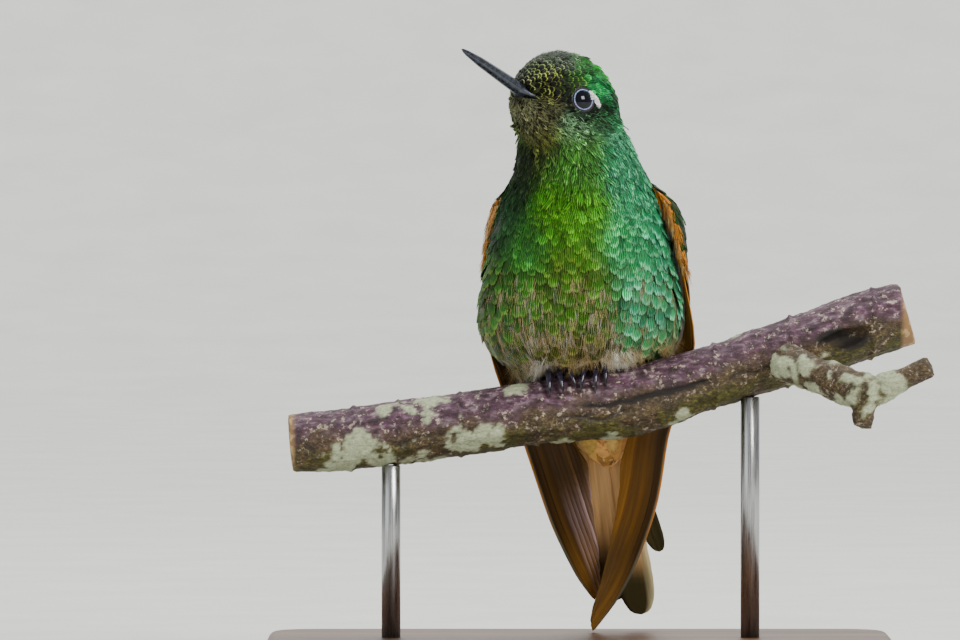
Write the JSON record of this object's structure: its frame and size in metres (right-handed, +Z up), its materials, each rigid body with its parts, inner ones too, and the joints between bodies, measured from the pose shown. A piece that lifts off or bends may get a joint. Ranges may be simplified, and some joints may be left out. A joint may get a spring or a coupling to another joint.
{
  "type": "perched hummingbird model on a display stand",
  "caption": "Life-size still hummingbird in green plumage, gripping a short cut branch with its head turned and raised, on a flat base with upright rods.",
  "frame": {"origin": "centre of the flat underside of the stand's base", "axes": "+Z up, the bird's breast faces -Y, and its right side is towards -X. The branch runs roughly along X and rises towards +X."},
  "size_m": [0.1056, 0.062, 0.0994],
  "materials": {
    "plumage": "glossy green contour feathers, darker on the head, buff fringes on the belly",
    "leg_tufts": "downy off-white feathers",
    "wing_coverts": "dark green feathers with a cinnamon-buff edge",
    "flight_feathers": "dark brown vanes with a lilac sheen",
    "tail_feathers": "buff vanes with dark bronze tips",
    "bill_horn": "smooth dark grey horn",
    "eye": "wet black eyeball",
    "toe_skin": "scaly dark skin",
    "claw_horn": "glossy dark horn",
    "bark": "rough purple-brown bark with pale lichen",
    "base_timber": "stained hardwood, satin varnish",
    "rod_steel": "satin steel"
  },
  "bodies": {
    "root": {"bill_lower": "bill_horn", "bill_upper": "bill_horn", "claw_left_1": "claw_horn", "claw_left_2": "claw_horn", "claw_left_3": "claw_horn", "claw_left_4": "claw_horn", "claw_right_1": "claw_horn", "claw_right_2": "claw_horn", "claw_right_3": "claw_horn", "claw_right_4": "claw_horn", "eye_left": "eye", "eye_right": "eye", "head": "plumage", "leg_left": "leg_tufts", "leg_right": "leg_tufts", "neck": "plumage", "perch_branch": "bark", "perch_twig": "bark", "stand_base": "base_timber", "stand_rod_left": "rod_steel", "stand_rod_right": "rod_steel", "tail": "tail_feathers", "toe_left_1": "toe_skin", "toe_left_2": "toe_skin", "toe_left_3": "toe_skin", "toe_left_4": "toe_skin", "toe_right_1": "toe_skin", "toe_right_2": "toe_skin", "toe_right_3": "toe_skin", "toe_right_4": "toe_skin", "trunk": "plumage", "wing_left_coverts": "wing_coverts", "wing_left_primaries": "flight_feathers", "wing_left_secondaries": "flight_feathers", "wing_right_coverts": "wing_coverts", "wing_right_primaries": "flight_feathers", "wing_right_secondaries": "flight_feathers"}
  },
  "joints": []
}
